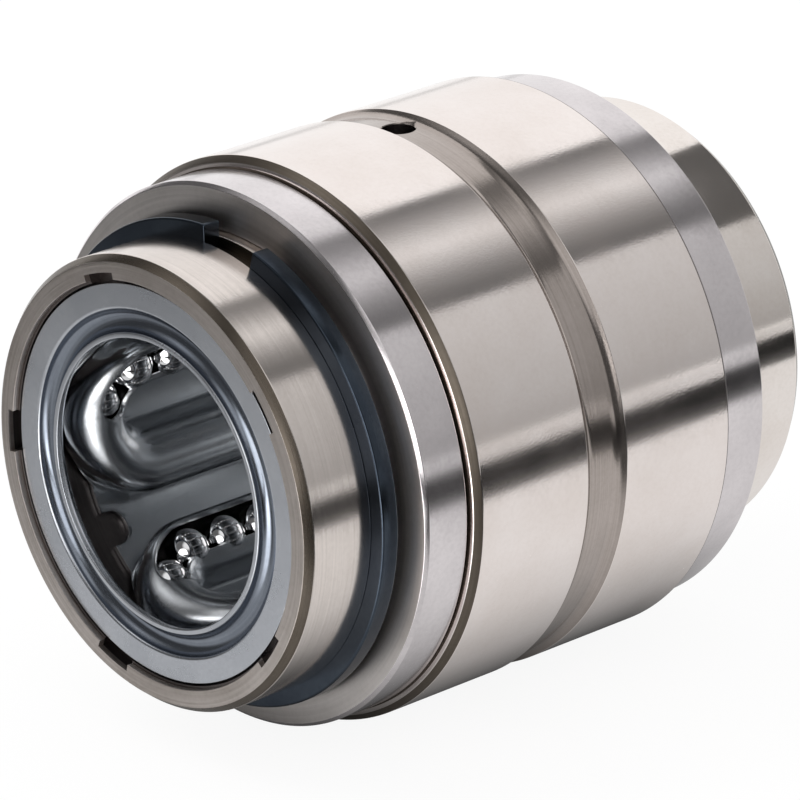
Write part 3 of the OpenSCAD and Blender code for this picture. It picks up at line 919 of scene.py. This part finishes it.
def cage():
    """The ball cage, pressed from one sheet, with a raised wall and a slot for each circuit."""
    wall = wall_section()
    web_limit = math.degrees(math.asin((CAGE_END - ROW_LEN / 2) / WALL_REACH))
    corner = math.degrees(math.asin(WALL_REACH * math.cos(math.radians(web_limit)) / WEB_R))
    line = web_edge(corner)
    loop = cage_loop(web_limit, len(line) - 1)
    slot_at = WEB_PARTS + len(wall[0]) + DOME_PARTS
    points, faces = [], []
    for number in range(CIRCUITS):
        middle = circuit_turn(number)
        first = len(points)
        for step in loop:
            off_end = min(step[2], 180.0 - step[2])
            past = max(0.0, off_end - web_limit)
            row = wall_points(middle, step, max(0.0, 1.0 - past / FLARE_TURN), wall)
            if past < 0.001:
                edge = line[round(off_end / web_limit * (len(line) - 1))]
                row = web_points(middle, step, edge) + row
            else:
                row = row[:1] * WEB_PARTS + row
            points += row
        width = len(row)
        for j, step in enumerate(loop):
            nxt = (j + 1) % len(loop)
            slotted = slot_share(step[2]) > 0 or slot_share(loop[nxt][2]) > 0
            for k in range(width - 1):
                if k == slot_at and slotted:
                    continue
                here, there = first + j * width + k, first + nxt * width + k
                faces.append((here, there, there + 1, here + 1))
    sheet = mesh_piece("cage_sheet", points, faces)
    tidy(sheet)
    face_shaft(sheet)
    sheet.data.materials.append(FINISH["cage_steel"])
    thick = sheet.modifiers.new("sheet", "SOLIDIFY")
    thick.thickness = SHEET * MM
    thick.offset = -1.0
    thick.use_even_offset = True
    hand_over(soften(bake(sheet), CAGE_BEVEL), "bushing", "cage_steel", "ball_cage")


def face_shaft(sheet):
    """Turns the sheet's faces so that most of its area faces the shaft."""
    work = bmesh.new()
    work.from_mesh(sheet.data)
    votes = 0.0
    for face in work.faces:
        spot = face.calc_center_median()
        votes -= face.normal.dot(Vector((spot.x, 0, spot.z))) * face.calc_area()
    if votes < 0:
        bmesh.ops.reverse_faces(work, faces=work.faces)
    work.to_mesh(sheet.data)
    work.free()


# Studio

def camera():
    """The camera that the photograph was taken with."""
    azimuth, elevation, roll = (math.radians(v) for v in (CAMERA_AZIMUTH, CAMERA_ELEVATION, CAMERA_ROLL))
    back = Vector((math.sin(azimuth) * math.cos(elevation), -math.cos(azimuth) * math.cos(elevation),
                   math.sin(elevation)))
    side = Vector((math.cos(azimuth), math.sin(azimuth), 0.0))
    up = back.cross(side)
    right = side * math.cos(roll) + up * math.sin(roll)
    up = back.cross(right)
    data = bpy.data.cameras.new("camera")
    data.lens = CAMERA_LENS
    data.sensor_width = SENSOR
    data.clip_end = CAMERA_REACH * MM
    eye = bpy.data.objects.new("camera", data)
    place = (Vector(CAMERA_AIM) + back * CAMERA_DISTANCE) * MM
    turn = Matrix((right, up, back)).transposed().to_4x4()
    eye.matrix_world = Matrix.Translation(place) @ turn
    bpy.context.collection.objects.link(eye)
    bpy.context.scene.camera = eye


def card_material():
    """A card that only shows in reflections, as bright as its shade attribute."""
    material = bpy.data.materials.new("card")
    material.use_nodes = True
    tree = material.node_tree
    tree.nodes.clear()
    shade = add(tree, "ShaderNodeAttribute", attribute_name="shade")
    glow = add(tree, "ShaderNodeEmission")
    tree.links.new(shade.outputs["Fac"], glow.inputs["Color"])
    tree.links.new(glow.outputs[0], add(tree, "ShaderNodeOutputMaterial").inputs[0])
    material.cycles.emission_sampling = "NONE"
    return material


def between(stops, value):
    """A shade read from (value, shade) stops."""
    for (a, low), (b, high) in zip(stops, stops[1:]):
        if value <= b:
            return low + (high - low) * max(0.0, (value - a) / (b - a))
    return stops[-1][1]


def step_up(value, low, high):
    """Rises smoothly from nought at one value to one at another."""
    share = min(1.0, max(0.0, (value - low) / (high - low)))
    return share * share * (3 - 2 * share)


def card(name, rows, material):
    """A card from rows of (place, shade) across it, which shows in reflections only."""
    width = len(rows[0])
    faces = [(j * width + k, j * width + k + 1, (j + 1) * width + k + 1, (j + 1) * width + k)
             for j in range(len(rows) - 1) for k in range(width - 1)]
    sheet = mesh_piece(name, [place for row in rows for place, _ in row], faces)
    layer = sheet.data.attributes.new("shade", "FLOAT", "POINT")
    for item, shade in zip(layer.data, [shade for row in rows for _, shade in row]):
        item.value = shade
    sheet.data.materials.append(material)
    sheet.visible_camera = False
    sheet.visible_diffuse = False
    sheet.visible_shadow = False
    sheet.visible_transmission = False


def drum_rows(stops):
    """Rows along the Y axis on a wide drum, from (angle, shade) stops."""
    rows = []
    first, last = stops[0][0], stops[-1][0]
    parts = round((last - first) / CARD_STEP)
    for k in range(parts + 1):
        angle = first + (last - first) * k / parts
        x, z = CARD_R * math.cos(math.radians(angle)), CARD_R * math.sin(math.radians(angle))
        rows.append([((x, y, z), between(stops, angle)) for y in (-CARD_HALF, CARD_HALF)])
    return rows


def flag_rows():
    """A small dark flag that only the sleeve's rear end mirrors."""
    first, last = FLAG_TURNS
    turns = [math.radians(first + (last - first) * k / 10) for k in range(11)]
    return [[((r * math.cos(a), FLAG_Y, r * math.sin(a)), FLAG_SHADE) for r in FLAG_R] for a in turns]


def soft_lights(direction):
    """The brightness that the soft lights in front add in a direction."""
    total = 0.0
    for aim, inner, outer, power in FRONT_LIGHTS:
        off = math.degrees(direction.angle(Vector(aim)))
        total += power * (1 - step_up(off, inner, outer))
    return total


def floor_shade(x, y):
    """How bright the floor card looks: a painted shadow under the object, darker away from it in front, dark
    to the right, white to the left, and painted pools of the soft lights in front."""
    under = between(UNDER_SHADES, abs(x))
    shade = under + (OPEN_SHADE - under) * step_up(abs(y), *UNDER_ENDS)
    if y < -FRONT_STARTS:
        shade = min(shade, between(FRONT_SHADES, FRONT_LEFT[0] * x + FRONT_LEFT[1] * y))
    right = step_up(x, *DARK_RIGHT[0]) * step_up(-y, *DARK_RIGHT[1])
    front = step_up(x, *DARK_FRONT[0]) * step_up(-y, *DARK_FRONT[1])
    shade += (DARK_SHADE - shade) * max(right, front)
    shade = max(shade, step_up(-x, *WHITE_LEFT[0]) * step_up(y, *WHITE_LEFT[1]))
    if x > 0 and y > REAR_STARTS:
        shade = REAR_SHADE
    return shade + soft_lights(Vector((x, y, FLOOR_Z))) * step_up(-y, *LIT_FRONT)


def floor_rows():
    """The floor that the metal mirrors, with its rows closest together near the object."""
    steps = 44
    spread = [ROOM_REACH * k * abs(k) / steps ** 2 for k in range(-steps, steps + 1)]
    return [[((x, y, FLOOR_Z + 0.1), floor_shade(x, y)) for x in spread] for y in spread]


def room_rows():
    """The half of the room in front of the object, with its soft lights."""
    sides = 96
    rows = []
    for tilt in range(0, 90, 2):
        out, ahead = math.sin(math.radians(tilt)), math.cos(math.radians(tilt))
        row = []
        for k in range(sides + 1):
            turn = math.tau * k / sides
            way = Vector((out * math.cos(turn), -ahead, out * math.sin(turn)))
            row.append((tuple(way * ROOM_REACH), ROOM_SHADE + soft_lights(way)))
        rows.append(row)
    return rows


def cards():
    """Grey cards and dark flags that the metal mirrors."""
    material = card_material()
    card("side_card", drum_rows(SIDE_CARD), material)
    card("upper_card", drum_rows(UPPER_CARD), material)
    card("rear_flag", flag_rows(), material)
    kerb = [[((KERB_X, y, z), shade) for y in (-CARD_HALF, CARD_HALF)] for z, shade in KERB_SHADES]
    card("kerb", kerb, material)
    card("shown_floor", floor_rows(), material)
    card("front_room", room_rows(), material)


def floor():
    """A pale floor that shows nearly white to the camera and keeps a faint shadow."""
    sides = 64
    turns = [math.tau * k / sides for k in range(sides)]
    points = [(FLOOR_R * math.cos(a), FLOOR_R * math.sin(a), FLOOR_Z) for a in turns]
    ground = mesh_piece("floor", points, [tuple(range(sides))])
    material = bpy.data.materials.new("pale_floor")
    material.use_nodes = True
    tree = material.node_tree
    tree.nodes.clear()
    paint = add(tree, "ShaderNodeBsdfDiffuse")
    feed(tree, paint, Color=(FLOOR_TONE, FLOOR_TONE, FLOOR_TONE, 1.0))
    glow = add(tree, "ShaderNodeEmission")
    feed(tree, glow, Color=(1.0, 1.0, 1.0, 1.0), Strength=FLOOR_GLOW)
    seen = add(tree, "ShaderNodeLightPath").outputs["Is Camera Ray"]
    mixed = add(tree, "ShaderNodeMixShader")
    tree.links.new(calc(tree, "MULTIPLY", seen, FLOOR_SHARE), mixed.inputs[0])
    tree.links.new(paint.outputs[0], mixed.inputs[1])
    tree.links.new(glow.outputs[0], mixed.inputs[2])
    tree.links.new(mixed.outputs[0], add(tree, "ShaderNodeOutputMaterial").inputs[0])
    material.cycles.emission_sampling = "NONE"
    ground.data.materials.append(material)


def light():
    """An even white room and one soft lamp from the upper left."""
    world = bpy.data.worlds.new("white_room")
    bpy.context.scene.world = world
    world.use_nodes = True
    tree = world.node_tree
    tree.nodes.clear()
    path = add(tree, "ShaderNodeLightPath").outputs
    shown = calc(tree, "MAXIMUM", calc(tree, "MAXIMUM", path["Is Camera Ray"], path["Is Glossy Ray"]),
                 path["Is Transmission Ray"])
    back = add(tree, "ShaderNodeBackground")
    feed(tree, back, Color=(1.0, 1.0, 1.0, 1.0),
         Strength=calc(tree, "MULTIPLY_ADD", shown, 1.0 - ROOM_LIGHT, ROOM_LIGHT))
    tree.links.new(back.outputs[0], add(tree, "ShaderNodeOutputWorld").inputs[0])
    lamp = bpy.data.lights.new("soft_lamp", "AREA")
    lamp.energy = LAMP_POWER
    lamp.size = LAMP_SIZE * MM
    held = bpy.data.objects.new("soft_lamp", lamp)
    place = Vector(LAMP_PLACE) * MM
    held.matrix_world = Matrix.Translation(place) @ place.to_track_quat("Z", "Y").to_matrix().to_4x4()
    bpy.context.collection.objects.link(held)


camera()
GRAIN = turned_grain()
MOTTLE = mottle()
TURNING = turning_tree()
BALLS = ball_tree()
FINISH = finishes()
floor()
cards()
light()

sleeve()
end_ring("front")
end_ring("rear")
cage()
balls()
retaining_ring("front")
retaining_ring("rear")
spacer_ring("front")
spacer_ring("rear")
outer_ring()
for node, slot in (("needle_cage", "needle_cage_steel"), ("needle_rollers", "needle_steel")):
    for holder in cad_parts[node].material_slots:
        holder.material = FINISH[slot]

bpy.context.scene.view_settings.view_transform = "Standard"
